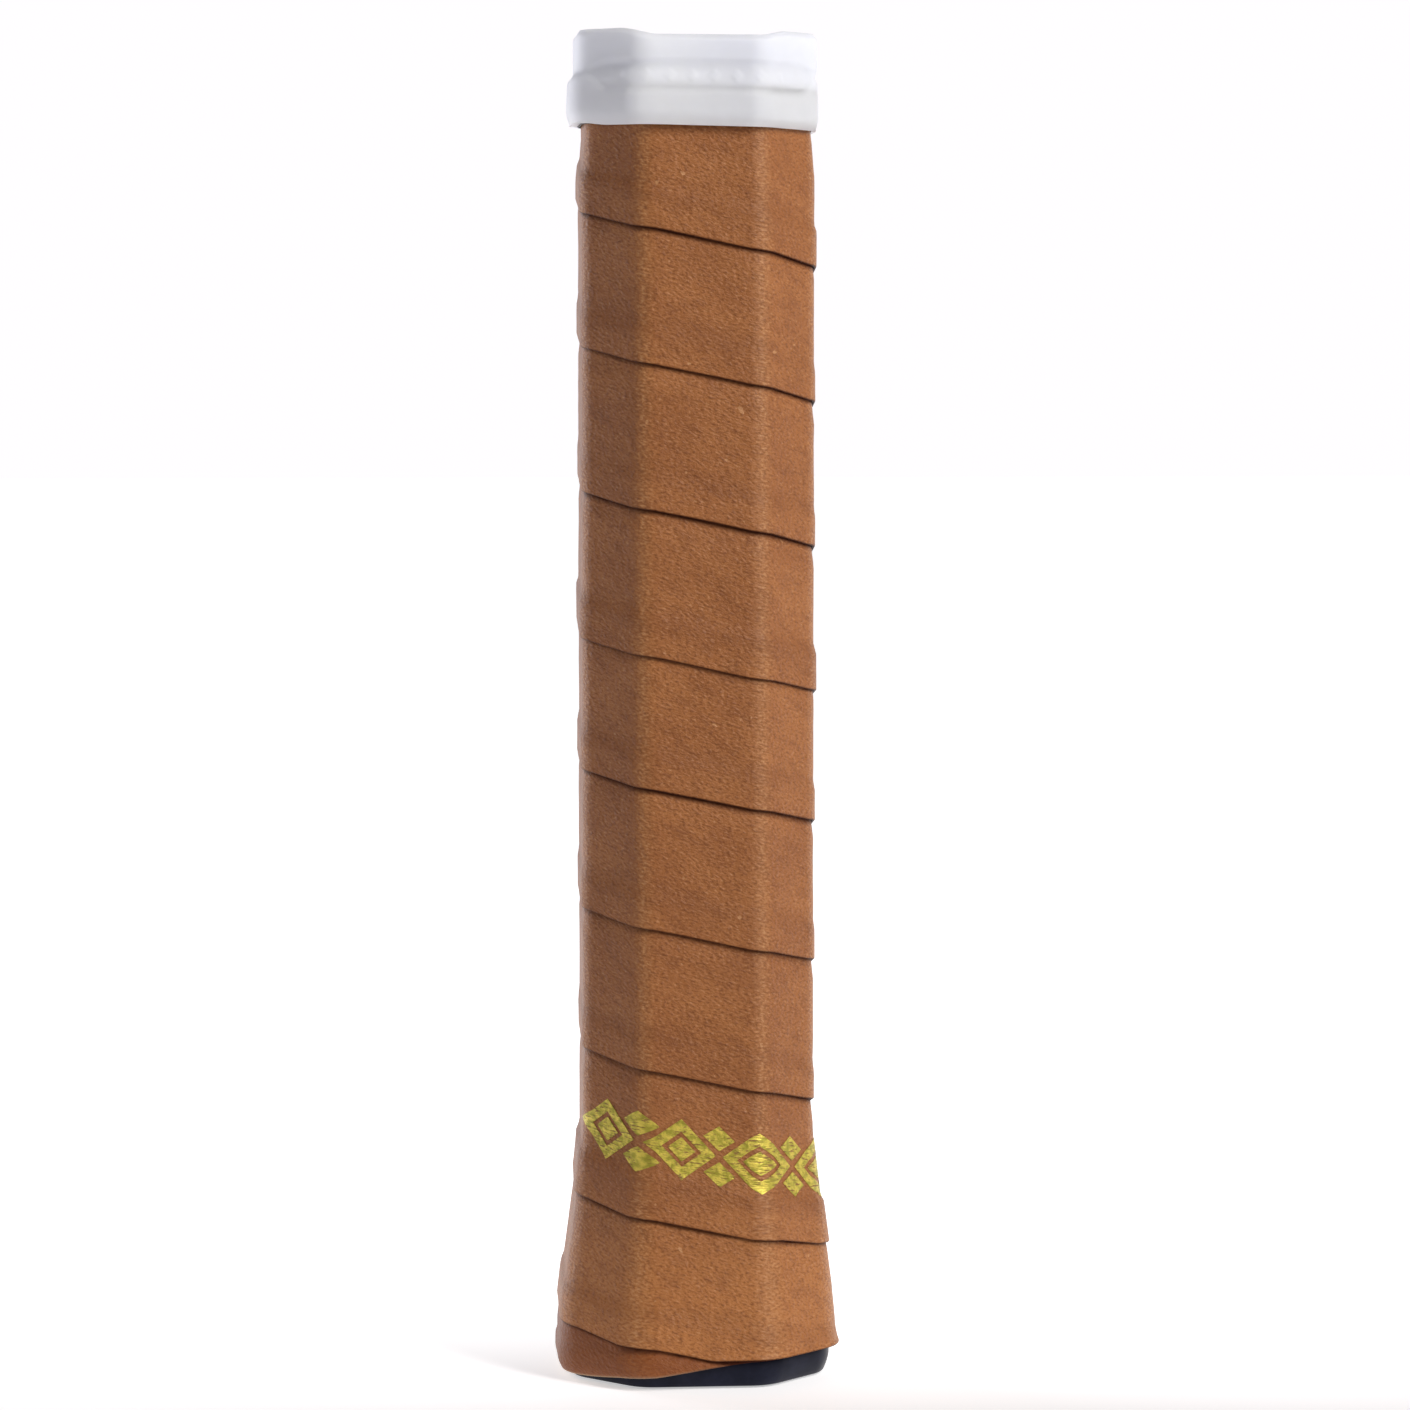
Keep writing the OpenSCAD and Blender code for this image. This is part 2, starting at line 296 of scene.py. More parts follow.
# -------------------------------------------------------------- leather strip
EDGE_STOPS = [0, 0.05, 0.14, 0.28, 0.5, 0.8, 1.2, 1.8, 2.6, 3.5, 4.5]
EDGE_ROUND = 0.28
BODY_STOPS = 24
UNDER_STOPS = 9
TIP_WIDTH = 1.0
END_WIDTH = 1.0
DARK_W = 0.34
SHADE_W = 0.5
RAW_W = 0.4


def strip_stops(low, high):
    """Places across the strip, dense at its visible lower edge."""
    scale = min(1, (high - low) / 9)
    edge = [low + e * scale for e in EDGE_STOPS]
    rest = high - edge[-1]
    return edge + [edge[-1] + rest * (i + 1) / BODY_STOPS for i in range(BODY_STOPS)]


def edge_roll(e):
    """How far the surface rolls in at a distance from the lower edge."""
    if e >= EDGE_ROUND:
        return 0.0
    return EDGE_ROUND - math.sqrt(EDGE_ROUND ** 2 - (EDGE_ROUND - e) ** 2)


def strip_section(s):
    """Points of one cross-section, with its across, edge and raw attributes."""
    z0 = edge_z(s)
    low = max(0.0, trim_low(s) - z0)
    high = min(STRIP_W, TRIM_HIGH - z0)
    next_edge = edge_z(s + LAP) - z0
    hang = hang_at(s)
    points, across, dark, raw = [], [], [], []
    for v in strip_stops(low, high):
        out = over(s, v) - edge_roll(v - low)
        points.append(seat_point(s, out, z0 + v))
        across.append(v)
        # The edge value darkens the burnished lower edge of each turn, and paints shade in a band
        # just under the edge of the turn above.
        own = 1 - smooth((v - low) / DARK_W)
        seam_shade = smooth((v - next_edge + SHADE_W + LAYER_GAP) / SHADE_W)
        dark.append(max(own * (1 - hang), seam_shade))
        raw.append(hang * (1 - smooth((v - low) / RAW_W)))
    for i in range(UNDER_STOPS):
        v = lerp(high, low, i / (UNDER_STOPS - 1))
        lift = 0.1 * math.exp(-(v - low) / 0.7)
        points.append(seat_point(s, under(s, v) + lift + rough(s, v) * 0.5, z0 + v))
        across.append(v)
        dark.append(1.0 - hang)
        raw.append(hang)
    return points, across, dark, raw


def corner_at(s):
    """1 in the middle of a corner of the octagon and 0 on its flats."""
    _, n = CORE.place(s)
    turned = math.degrees(math.atan2(n.y, n.x)) % 45
    return 1 - abs(turned / 22.5 - 1)


def grip_strip():
    """The strip as one swept piece; along is the distance travelled on it."""
    lap_stops = CORE.stops(1.1, 6)
    first = (TRIM_LOW + TIP_WIDTH - STRIP_W - FIRST_EDGE_Z) / PITCH
    last = (TRIM_HIGH - END_WIDTH - FIRST_EDGE_Z) / PITCH
    points, along, across, dark, raw, start, wear_and_sheen = [], [], [], [], [], [], []
    rings, travelled, last_middle = 0, 0.0, None
    for turn in range(math.floor(first) - 1, math.ceil(last) + 1):
        for stop in lap_stops:
            s = turn * LAP + stop
            if not first * LAP <= s <= last * LAP:
                continue
            section, ring_across, ring_dark, ring_raw = strip_section(s)
            points += section
            across += ring_across
            dark += ring_dark
            raw += ring_raw
            middle = seat_point(s, 1.5, edge_z(s) + STRIP_W / 2)
            travelled += (middle - (last_middle or middle)).length / MM
            last_middle = middle
            along += [travelled] * len(section)
            # The corners take a painted highlight in the leather's colour.
            wear_and_sheen += [corner_at(s)] * len(section)
            start += [1 - smooth((s + 0.5 * LAP) / (0.3 * LAP))] * len(section)
            rings += 1
    faces = tube_faces(rings, len(points) // rings)
    values = {
        "along": along, "across": across, "edge": dark, "raw": raw, "start": start,
        "wear_and_sheen": wear_and_sheen,
    }
    piece = make_piece("leather_strip", points, faces, "handle", values, 50)
    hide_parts("grip_strip")
    piece.data.materials.append(leather_material())


# ----------------------------------------------------------------- foil stamp
FOIL_LIFT = 0.03
FOIL_T = 0.05
# A row of framed lozenges, in mm along and across the strip.
FOIL_V = 11.1
FOIL_PERIOD = 11.0
FOIL_FIRST = LAP + 14.2
FOIL_COUNT = 6
LOZENGE = (5.0, 4.4)
FRAME_T = 0.42
KERNEL = (2.0, 1.75)
SPUR = (2.3, 1.8)


def foil_patch(shape, cells_u, cells_v):
    """A thin plate over the leather; shape maps the unit square to (s, v)."""
    points = []
    for lift in (FOIL_LIFT, FOIL_LIFT + FOIL_T):
        for j in range(cells_v + 1):
            for i in range(cells_u + 1):
                s, v = shape(i / cells_u, j / cells_v)
                z = edge_z(s) + v
                points.append((seat_point(s, over(s, v) + lift, z), s, v))
    row = cells_u + 1
    layer = row * (cells_v + 1)
    faces = []
    for j in range(cells_v):
        for i in range(cells_u):
            a = j * row + i
            quad = (a, a + 1, a + row + 1, a + row)
            faces.append(quad)
            faces.append(tuple(layer + k for k in reversed(quad)))
    rim = list(range(row))
    rim += [j * row + cells_u for j in range(1, cells_v + 1)]
    rim += [cells_v * row + i for i in range(cells_u - 1, -1, -1)]
    rim += [j * row for j in range(cells_v - 1, 0, -1)]
    for a, b in zip(rim, rim[1:] + rim[:1]):
        faces.append((b, a, a + layer, b + layer))
    return points, faces


def lozenge_side(centre, outer, inner, quarter):
    """One of the four arms of a lozenge-shaped frame."""
    tips = [(1, 0), (0, 1), (-1, 0), (0, -1)]
    a, b = tips[quarter], tips[(quarter + 1) % 4]

    def shape(u, w):
        x, y = lerp(a[0], b[0], u), lerp(a[1], b[1], u)
        width, height = lerp(inner[0], outer[0], w), lerp(inner[1], outer[1], w)
        return centre + x * width, FOIL_V + y * height

    return shape


def solid_lozenge(centre, middle, size):
    """A full lozenge."""
    def shape(u, w):
        x, y = u - w, u + w - 1
        return centre + x * size[0], middle + y * size[1]

    return shape


def foil_ornament():
    """Framed lozenges with kernels, and a pair of spurs between neighbours."""
    points, faces, along, across = [], [], [], []
    shapes = []
    for k in range(FOIL_COUNT):
        centre = FOIL_FIRST - k * FOIL_PERIOD
        inner = (LOZENGE[0] * (1 - FRAME_T), LOZENGE[1] * (1 - FRAME_T))
        shapes += [(lozenge_side(centre, LOZENGE, inner, q), 14, 4) for q in range(4)]
        shapes.append((solid_lozenge(centre, FOIL_V, KERNEL), 8, 8))
        if k < FOIL_COUNT - 1:
            between = centre - FOIL_PERIOD / 2
            for side in (-1, 1):
                middle = FOIL_V + side * (LOZENGE[1] - SPUR[1])
                shapes.append((solid_lozenge(between, middle, SPUR), 8, 8))
    for shape, cells_u, cells_v in shapes:
        found, patch = foil_patch(shape, cells_u, cells_v)
        base = len(points)
        points += [p for p, _, _ in found]
        along += [s for _, s, _ in found]
        across += [v for _, _, v in found]
        faces += [tuple(base + i for i in face) for face in patch]
    values = {"along": along, "across": across}
    piece = make_piece("foil_lozenges", points, faces, "handle", values, 40)
    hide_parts("foil_stamp")
    piece.data.materials.append(foil_material())


# -------------------------------------------------------------------- collar
COLLAR_H = COLLAR_HIGH.z - COLLAR_LOW.z
COLLAR_R = 4.6
COLLAR_TILT = math.radians(1.2)
BEAD_OUT = COLLAR_HIGH.x - CORE_A
CUFF_OUT = 1.75
COLLAR_IN = 1.62
NECK_IN = 0.3
NECK_Z = 5.8
PANEL_Z = (4.9, 9.3)
PANEL_DEEP = 0.28
PANEL_SOFT = 1.2
STUD_REACH = 11
STUD_STEP = 3.2
STUD_HIGH = 0.1
GROOVE_Z = 7.6
GROOVE_HALF = 0.45
TOP_DROP = 0.4
TOP_DIP = 1.0
LEFT_SWELL = 0.65
RIGHT_IN = 0.45
LEFT_LIFT = 0.5


def collar_profile(h):
    """How far out the collar's skin lies at a height above its lower edge."""
    lower = BEAD_OUT - 0.4 * (1 - smooth(h / 2.6)) ** 2 - 0.12 * smooth((h - 3) / 3)
    upper = CUFF_OUT + 0.12 - 0.55 * smooth((h - COLLAR_H + 1.2) / 1.2) ** 2
    return lerp(lower, upper, smooth((h - 6.0) / 2.6))


def panel_mask(x, h):
    """The sunk panel across a broad face, and the groove that runs out of it."""
    open_left = smooth((x + 15.6) / 3.4)
    open_right = smooth((16.4 - x) / 3.0)
    open_all = open_left * open_right
    middle = lerp(GROOVE_Z, sum(PANEL_Z) / 2, open_all)
    half = lerp(GROOVE_HALF, (PANEL_Z[1] - PANEL_Z[0]) / 2, open_all)
    return smooth((half - abs(h - middle)) / PANEL_SOFT + 0.5)


def panel_relief(x, h):
    """A row of low lozenges in the panel."""
    if abs(x) > STUD_REACH:
        return 0.0
    u = x / STUD_STEP + 0.5
    nearest = abs(u - round(u)) * STUD_STEP
    reach = nearest / 1.15 + abs(h - sum(PANEL_Z) / 2) / 1.25
    return STUD_HIGH * smooth((1 - reach) / 0.5)


def collar_sag(x, y, h):
    """The cuff's edge sags between the front corners, and the ring sits tilted."""
    across = smooth((x + 11.5) / 5) * (1 - 0.75 * smooth((x - 8) / 4))
    dip = TOP_DROP + TOP_DIP * across * smooth((4 - y) / 8)
    high = smooth((h - 8.5) / (COLLAR_H - 8.5))
    lift = LEFT_LIFT * smooth((-x - 12) / 5) - math.tan(COLLAR_TILT) * x
    return dip * high - lift * (1 - 0.85 * h / COLLAR_H)


def off_centre(nx, h):
    """The soft ring sits a little to the left, its bead more than its cuff."""
    bead = 1 - smooth((h - 6) / 3)
    return LEFT_SWELL * smooth(-nx) * (0.5 + 0.5 * bead) - RIGHT_IN * smooth(nx) * bead


def collar_shell():
    """The ring's outer skin from its lower edge up, then its bore back down."""
    skin = Outline(CORE_A + 1, CORE_B + 1, CORE_C + 0.586, COLLAR_R)
    hole = Outline(CORE_A, CORE_B, CORE_C, CORE_R)
    stops = skin.stops(0.33, 14)
    rows = 58
    heights = [COLLAR_H * i / rows for i in range(rows + 1)]
    inner = [(NECK_IN, COLLAR_H), (NECK_IN, NECK_Z), (COLLAR_IN, NECK_Z - 0.1), (COLLAR_IN, 0)]
    points = []
    for h in heights:
        for s in stops:
            p, n = skin.place(s)
            sunk = panel_mask(p.x, h) * PANEL_DEEP
            if abs(n.y) > 0.5:
                sunk -= panel_relief(p.x, h) * panel_mask(p.x, h)
            q = p + n * (collar_profile(h) - 1 - sunk + off_centre(n.x, h))
            points.append(Vector((q.x, q.y, h - collar_sag(p.x, p.y, h))))
    for out, h in inner:
        for s in stops:
            p, n = hole.place(s / skin.length * hole.length)
            q = p + n * out
            points.append(Vector((q.x, q.y, h - collar_sag(p.x, p.y, h))))
    points = [(p + Vector((0, 0, COLLAR_LOW.z))) * MM for p in points]
    faces = tube_faces(len(heights) + len(inner), len(stops), closed_way=True)
    piece = make_piece("collar_shell", points, faces, "collar", None, 35)
    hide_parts("collar")
    piece.data.materials.append(rubber_material())


# ------------------------------------------------------------------ butt cap
SKIRT_H = CAP_HIGH.z
SLEEVE_IN = 1.35
CAP_FLOOR_Z = 3.2
DOOR_SEAT_IN = 2.2
DOOR_HOLE_IN = 4.0
DOOR_SEAT_H = 1.7
SHARP_R = 0.25


def inset(d, r=SHARP_R):
    """The handle's octagon moved in by d, with nearly sharp corners."""
    return Outline(CORE_A - d, CORE_B - d, CORE_C - d * 0.586, r)


def cap_shell():
    """The cap as one closed loop of levels: seat, foot, lip, flare, bore."""
    seat, hole = inset(DOOR_SEAT_IN), inset(DOOR_HOLE_IN)
    levels = [
        (seat, 0, 0.12), (seat, -0.12, 0), (CORE, FOOT_OUT - 0.35, 0),
        (CORE, FOOT_OUT - 0.1, 0.07), (CORE, FOOT_OUT + 0.05, 0.25),
        (CORE, FOOT_OUT + 0.3, 0.8), (CORE, FOOT_OUT + 0.55, 1.5),
        (CORE, LIP_OUT - 0.08, BEVEL_Z - 0.25), (CORE, LIP_OUT, BEVEL_Z + 0.2),
        (CORE, LIP_OUT, LIP_H - 0.3), (CORE, LIP_OUT - 0.1, LIP_H - 0.08),
        (CORE, LIP_OUT - 0.3, LIP_H), (CORE, flare_at(LIP_H), LIP_H),
    ]
    levels += [(CORE, flare_at(z), z) for z in range(5, int(FLARE_TOP))]
    levels += [
        (CORE, 0, SKIRT_H), (CORE, -SLEEVE_IN, SKIRT_H), (CORE, -SLEEVE_IN, CAP_FLOOR_Z),
        (hole, 0, CAP_FLOOR_Z), (hole, 0, DOOR_SEAT_H), (seat, 0, DOOR_SEAT_H),
    ]
    stops = CORE.stops(2.2, 8)
    points = []
    for outline, out, z in levels:
        for s in stops:
            p, n = outline.place(s / CORE.length * outline.length)
            q = p + n * out
            points.append(Vector((q.x, q.y, z)) * MM)
    faces = tube_faces(len(levels), len(stops), closed_way=True)
    piece = make_piece("cap_shell", points, faces, "handle", None, 40)
    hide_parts("butt_cap")
    piece.data.materials.append(plastic_material("cap_navy", (0.004, 0.005, 0.014)))


# ------------------------------------------------------------------ materials
class Graph:
    """A short way to write a node material."""

    def __init__(self, name):
        self.material = bpy.data.materials.new(name)
        self.material.use_nodes = True
        self.tree = self.material.node_tree
        self.shader = self.tree.nodes["Principled BSDF"]

    def node(self, kind, inputs=None, **settings):
        made = self.tree.nodes.new("ShaderNode" + kind)
        for key, value in settings.items():
            setattr(made, key, value)
        for key, value in (inputs or {}).items():
            self.feed(made.inputs[key], value)
        return made

    def feed(self, socket, value):
        if isinstance(value, bpy.types.NodeSocket):
            self.tree.links.new(value, socket)
        else:
            socket.default_value = value

    def set(self, **values):
        for key, value in values.items():
            self.feed(self.shader.inputs[key.replace("_", " ")], value)

    def value(self, key):
        return self.node("Attribute", attribute_name=key).outputs["Fac"]

    def math(self, operation, *terms):
        made = self.node("Math", operation=operation)
        for i, term in enumerate(terms):
            self.feed(made.inputs[i], term)
        return made.outputs[0]

    def ramp(self, value, low, high):
        """0 at low and 1 at high, in between smooth."""
        made = self.node("MapRange", interpolation_type="SMOOTHSTEP")
        self.feed(made.inputs["Value"], value)
        made.inputs["From Min"].default_value = low
        made.inputs["From Max"].default_value = high
        return made.outputs[0]

    def mix(self, factor, a, b):
        made = self.node("Mix", data_type="RGBA")
        self.feed(made.inputs[0], factor)
        self.feed(made.inputs[6], a)
        self.feed(made.inputs[7], b)
        return made.outputs[2]

    def noise(self, vector, scale, detail=3.0, roughness=0.55):
        made = self.node("TexNoise", {"Vector": vector, "Scale": scale})
        made.inputs["Detail"].default_value = detail
        made.inputs["Roughness"].default_value = roughness
        return made.outputs["Fac"]

    def stretch(self, vector, size, degrees=0.0):
        """Coordinates in which a pattern is size long and wide, its length turned."""
        made = self.node("Mapping", {"Vector": vector}, vector_type="TEXTURE")
        made.inputs["Scale"].default_value = (size[0], size[1], size[2])
        made.inputs["Rotation"].default_value = (0, 0, math.radians(degrees))
        return made.outputs[0]

    def object_mm(self):
        """The surface point in millimetres."""
        point = self.node("TexCoord").outputs["Object"]
        return self.stretch(point, (MM, MM, MM))

    def strip_mm(self):
        """Place on the strip: along it, across it, in millimetres."""
        made = self.node("CombineXYZ")
        self.feed(made.inputs[0], self.value("along"))
        self.feed(made.inputs[1], self.value("across"))
        return made.outputs[0]

    def bump(self, height, strength, distance, below=None):
        made = self.node("Bump", {"Height": height})
        made.inputs["Strength"].default_value = strength
        made.inputs["Distance"].default_value = distance
        if below is not None:
            self.feed(made.inputs["Normal"], below)
        return made.outputs[0]


def color(r, g, b):
    return (r, g, b, 1.0)


LEATHER_LIGHT = color(0.345, 0.132, 0.040)
LEATHER_MID = color(0.28, 0.101, 0.030)
LEATHER_DARK = color(0.155, 0.048, 0.013)
LEATHER_FLECK = color(0.52, 0.27, 0.12)
LEATHER_START = color(0.18, 0.046, 0.010)
# Painted light on the flare near the foot, partly the leather's own paler tone.
LEATHER_FOOT_LIGHT_AND_TONE = color(0.42, 0.165, 0.047)
LEATHER_RAW = color(0.46, 0.30, 0.17)
# Dark brown for the burnished edges, and for the painted shade along each seam.
LEATHER_EDGE_AND_SEAM_SHADE = color(0.045, 0.012, 0.006)


def leather_grain(g, place):
    """Heights of the leather's creases, pebbles and pores, each 0 to 1."""
    creases = g.noise(g.stretch(place, (0.62, 0.33, 1), 5), 1.0, 3, 0.6)
    pebbled = g.node("TexVoronoi", {"Vector": g.stretch(place, (0.65, 0.5, 1), 5)},
                     feature="SMOOTH_F1")
    pebbled.inputs["Scale"].default_value = 1.0
    pores = g.node("TexVoronoi", {"Vector": place})
    pores.inputs["Scale"].default_value = 0.8
    return creases, pebbled.outputs["Distance"], g.ramp(pores.outputs["Distance"], 0.05, 0.16)


def leather_color(g, place, creases):
    clouds = g.ramp(g.noise(g.stretch(place, (14, 8, 1), 20), 1.0, 4, 0.6), 0.3, 0.7)
    tone = g.mix(clouds, LEATHER_MID, LEATHER_LIGHT)
    # Paler towards the foot: painted light where the flare faces up, partly the leather's own
    # tone.
    height = g.node("SeparateXYZ", {"Vector": g.object_mm()}).outputs["Z"]
    foot_light_and_tone = g.math("MULTIPLY", g.ramp(height, 30, 14), 0.6)
    tone = g.mix(foot_light_and_tone, tone, LEATHER_FOOT_LIGHT_AND_TONE)
    patches = g.ramp(g.noise(g.stretch(place, (3.2, 1.8, 1), 25), 1.0, 3, 0.6), 0.55, 0.3)
    tone = g.mix(g.math("MULTIPLY", patches, 0.35), tone, LEATHER_DARK)
    valley = g.math("MULTIPLY", g.ramp(creases, 0.53, 0.33), 0.65)
    tone = g.mix(valley, tone, LEATHER_DARK)
    fleck = g.math("MULTIPLY", g.ramp(creases, 0.56, 0.72), 0.45)
    tone = g.mix(fleck, tone, LEATHER_FLECK)
    # Painted highlight: paler grainy flecks along the octagon's corners.
    corner_sheen = g.math("MULTIPLY_ADD", g.ramp(creases, 0.45, 0.65), 0.4, 0.12)
    tone = g.mix(g.math("MULTIPLY", g.value("wear_and_sheen"), corner_sheen), tone, LEATHER_FLECK)
    across = g.value("across")
    # Painted shade: a soft dark band where the turn below ends under this one.
    lap_dent_shade = g.math("MULTIPLY", g.ramp(across, 3.0, 4.8), g.ramp(across, 8.0, 5.5))
    tone = g.mix(g.math("MULTIPLY", lap_dent_shade, 0.2), tone, LEATHER_DARK)
    scuff = g.ramp(g.noise(place, 0.5, 2), 0.72, 0.75)
    tone = g.mix(g.math("MULTIPLY", scuff, 0.6), tone, LEATHER_FLECK)
    tone = g.mix(g.math("MULTIPLY", g.value("start"), 0.75), tone, LEATHER_START)
    tone = g.mix(g.value("raw"), tone, LEATHER_RAW)
    # Dark burnished edges, and painted shade along each seam.
    return g.mix(g.value("edge"), tone, LEATHER_EDGE_AND_SEAM_SHADE)


def leather_material():
    g = Graph("tan_leather")
    place = g.strip_mm()
    creases, pebbles, pores = leather_grain(g, place)
    g.set(Base_Color=leather_color(g, place, creases))
    shine = g.math("MULTIPLY_ADD", g.noise(place, 0.8, 3), 0.2, 0.33)
    g.set(Roughness=shine)
    # Less shine on the dark edges and in the painted seam shade.
    g.set(Specular_IOR_Level=g.math("MULTIPLY_ADD", g.value("edge"), -0.22, 0.24))
    normal = g.bump(g.noise(g.stretch(place, (4, 3, 1)), 1.0, 2), 0.3, 0.0005)
    normal = g.bump(pores, 0.25, 0.00008, normal)
    normal = g.bump(pebbles, 0.5, 0.00022, normal)
    g.set(Normal=g.bump(creases, 0.56, 0.00034, normal))
    return g.material


def foil_material():
    g = Graph("gold_foil")
    place = g.strip_mm()
    cracks = g.noise(g.stretch(place, (1.25, 0.30, 1), -4), 1.0, 3, 0.6)
    lost = g.ramp(cracks, 0.45, 0.38)
    wear_and_sheen = g.ramp(g.noise(place, 2.6, 2), 0.34, 0.28)
    bare = g.math("MAXIMUM", lost, wear_and_sheen)
    hue = g.mix(g.ramp(g.noise(place, 1.1, 3), 0.35, 0.65), color(0.33, 0.29, 0.03),
                color(0.66, 0.53, 0.08))
    g.set(Base_Color=g.mix(g.math("MULTIPLY", bare, 0.8), hue, LEATHER_DARK))
    g.set(Metallic=g.math("MULTIPLY_ADD", bare, -0.5, 0.5))
    g.set(Roughness=g.math("MULTIPLY_ADD", bare, 0.25, 0.40))
    g.set(Normal=g.bump(cracks, 0.8, 0.00020))
    return g.material


def rubber_material():
    """Lighter towards -X, for the light that the thin ring lets through there."""
    g = Graph("white_rubber")
    place = g.object_mm()
    aside = g.node("SeparateXYZ", {"Vector": place}).outputs["X"]
    cloud = g.math("MULTIPLY", g.ramp(g.noise(place, 0.12, 3), 0.35, 0.65), 0.15)
    light = g.math("MULTIPLY_ADD", g.ramp(aside, 13, -15), 0.85, cloud)
    g.set(Base_Color=g.mix(light, color(0.655, 0.68, 0.765), color(0.81, 0.845, 0.955)))
    g.set(Roughness=g.math("MULTIPLY_ADD", g.noise(place, 0.9, 3), 0.14, 0.50))
    g.shader.inputs["Specular IOR Level"].default_value = 0.3
    g.shader.inputs["Subsurface Weight"].default_value = 0.7
    g.shader.inputs["Subsurface Radius"].default_value = (1.0, 1.0, 1.1)
    g.shader.inputs["Subsurface Scale"].default_value = 0.0035
    g.set(Normal=g.bump(g.noise(place, 5, 3), 0.10, 0.00005))
    return g.material


def plastic_material(name, tone):
    g = Graph(name)
    place = g.object_mm()
    lighter = color(*(c * 1.5 + 0.004 for c in tone))
    g.set(Base_Color=g.mix(g.ramp(g.noise(place, 0.25, 4), 0.35, 0.7), color(*tone), lighter))
    g.set(Roughness=g.math("MULTIPLY_ADD", g.noise(place, 0.7, 4), 0.2, 0.24))
    g.shader.inputs["Specular IOR Level"].default_value = 0.12
    g.set(Normal=g.bump(g.noise(place, 3, 2), 0.12, 0.00006))
    return g.material


def foam_material(name, light, dark, cells):
    g = Graph(name)
    place = g.object_mm()
    cell = g.node("TexVoronoi", {"Vector": place, "Scale": cells}).outputs["Distance"]
    g.set(Base_Color=g.mix(g.ramp(cell, 0.15, 0.6), color(*dark), color(*light)))
    g.shader.inputs["Roughness"].default_value = 0.85
    g.set(Normal=g.bump(cell, 0.5, 0.0002))
    return g.material


def carbon_material():
    g = Graph("carbon_twill")
    place = g.object_mm()
    warp = g.node("TexWave", {"Vector": place, "Scale": 0.35}, bands_direction="DIAGONAL")
    weft = g.node("TexWave", {"Vector": place, "Scale": 1.4}, bands_direction="Z")
    cloth = g.math("MULTIPLY", warp.outputs["Fac"], weft.outputs["Fac"])
    g.set(Base_Color=g.mix(cloth, color(0.010, 0.010, 0.012), color(0.035, 0.036, 0.040)))
    g.set(Roughness=g.math("MULTIPLY_ADD", cloth, 0.2, 0.25))
    g.shader.inputs["Coat Weight"].default_value = 0.4
    g.set(Normal=g.bump(cloth, 0.3, 0.00008))
    return g.material


def steel_material():
    g = Graph("bright_wire")
    place = g.object_mm()
    drawn = g.noise(g.stretch(place, (0.8, 0.08, 0.08)), 1.0, 3)
    g.set(Base_Color=g.mix(drawn, color(0.42, 0.43, 0.45), color(0.62, 0.63, 0.65)))
    g.shader.inputs["Metallic"].default_value = 1.0
    g.set(Roughness=g.math("MULTIPLY_ADD", drawn, 0.25, 0.22))
    return g.material


def badge_material():
    """Plain spun metal: rings about the handle's axis."""
    g = Graph("spun_badge")
    place = g.object_mm()
    rings = g.node("TexWave", {"Vector": place, "Scale": 0.9, "Distortion": 0.3},
                   wave_type="RINGS", rings_direction="Z").outputs["Fac"]
    g.set(Base_Color=g.mix(rings, color(0.50, 0.51, 0.54), color(0.66, 0.67, 0.70)))
    g.shader.inputs["Metallic"].default_value = 1.0
    g.set(Roughness=g.math("MULTIPLY_ADD", rings, 0.12, 0.26))
    g.set(Normal=g.bump(rings, 0.25, 0.00006))
    return g.material


def tape_material(name, light, dark):
    """Tape with a fine crosswise weave."""
    g = Graph(name)
    place = g.object_mm()
    threads = g.node("TexWave", {"Vector": place, "Scale": 1.6}, bands_direction="Z")
    tone = g.math("MULTIPLY", threads.outputs["Fac"], g.noise(place, 1.5, 3))
    g.set(Base_Color=g.mix(tone, color(*dark), color(*light)))
    g.set(Roughness=g.math("MULTIPLY_ADD", tone, 0.3, 0.45))
    g.set(Normal=g.bump(tone, 0.3, 0.00006))
    return g.material


def dress_cad_nodes():
    """Materials for the nodes that keep their CAD shape."""
    carbon = carbon_material()
    leg_foam = foam_material("leg_foam", (0.62, 0.55, 0.36), (0.42, 0.36, 0.22), 2.2)
    pallet_foam = foam_material("pallet_foam", (0.56, 0.52, 0.43), (0.40, 0.36, 0.29), 1.5)
    paper_tape = tape_material("paper_tape", (0.74, 0.71, 0.62), (0.55, 0.52, 0.44))
    vinyl_tape = tape_material("vinyl_tape", (0.03, 0.03, 0.034), (0.012, 0.012, 0.014))
    steel = steel_material()
    door = plastic_material("door_navy", (0.022, 0.028, 0.052))
    dress = {
        "hairpin_leg_left": carbon, "hairpin_leg_right": carbon,
        "hairpin_core_left": leg_foam, "hairpin_core_right": leg_foam,
        "pallet_front": pallet_foam, "pallet_back": pallet_foam,
        "pallet_tape_front": paper_tape, "pallet_tape_back": paper_tape,
        "grip_adhesive": paper_tape, "finishing_tape": vinyl_tape,
        "butt_staples": steel, "start_tack": steel,
        "trap_door": door, "door_badge": badge_material(),
    }
    for node, material in dress.items():
        mesh = nodes[node].data
        mesh.materials.clear()
        mesh.materials.append(material)


# ------------------------------------------------------- floor, light, camera
# Places of lamps, camera and floor are in metres; materials stay in millimetres.
VIEW_AZIMUTH = math.radians(-4.4)
VIEW_DISTANCE = 0.684
EYE_HEIGHT = 0.147
AIM_HEIGHT = 0.0984
AIM_RIGHT = 0.0014
LENS = 118.65
SENSOR = 36.0


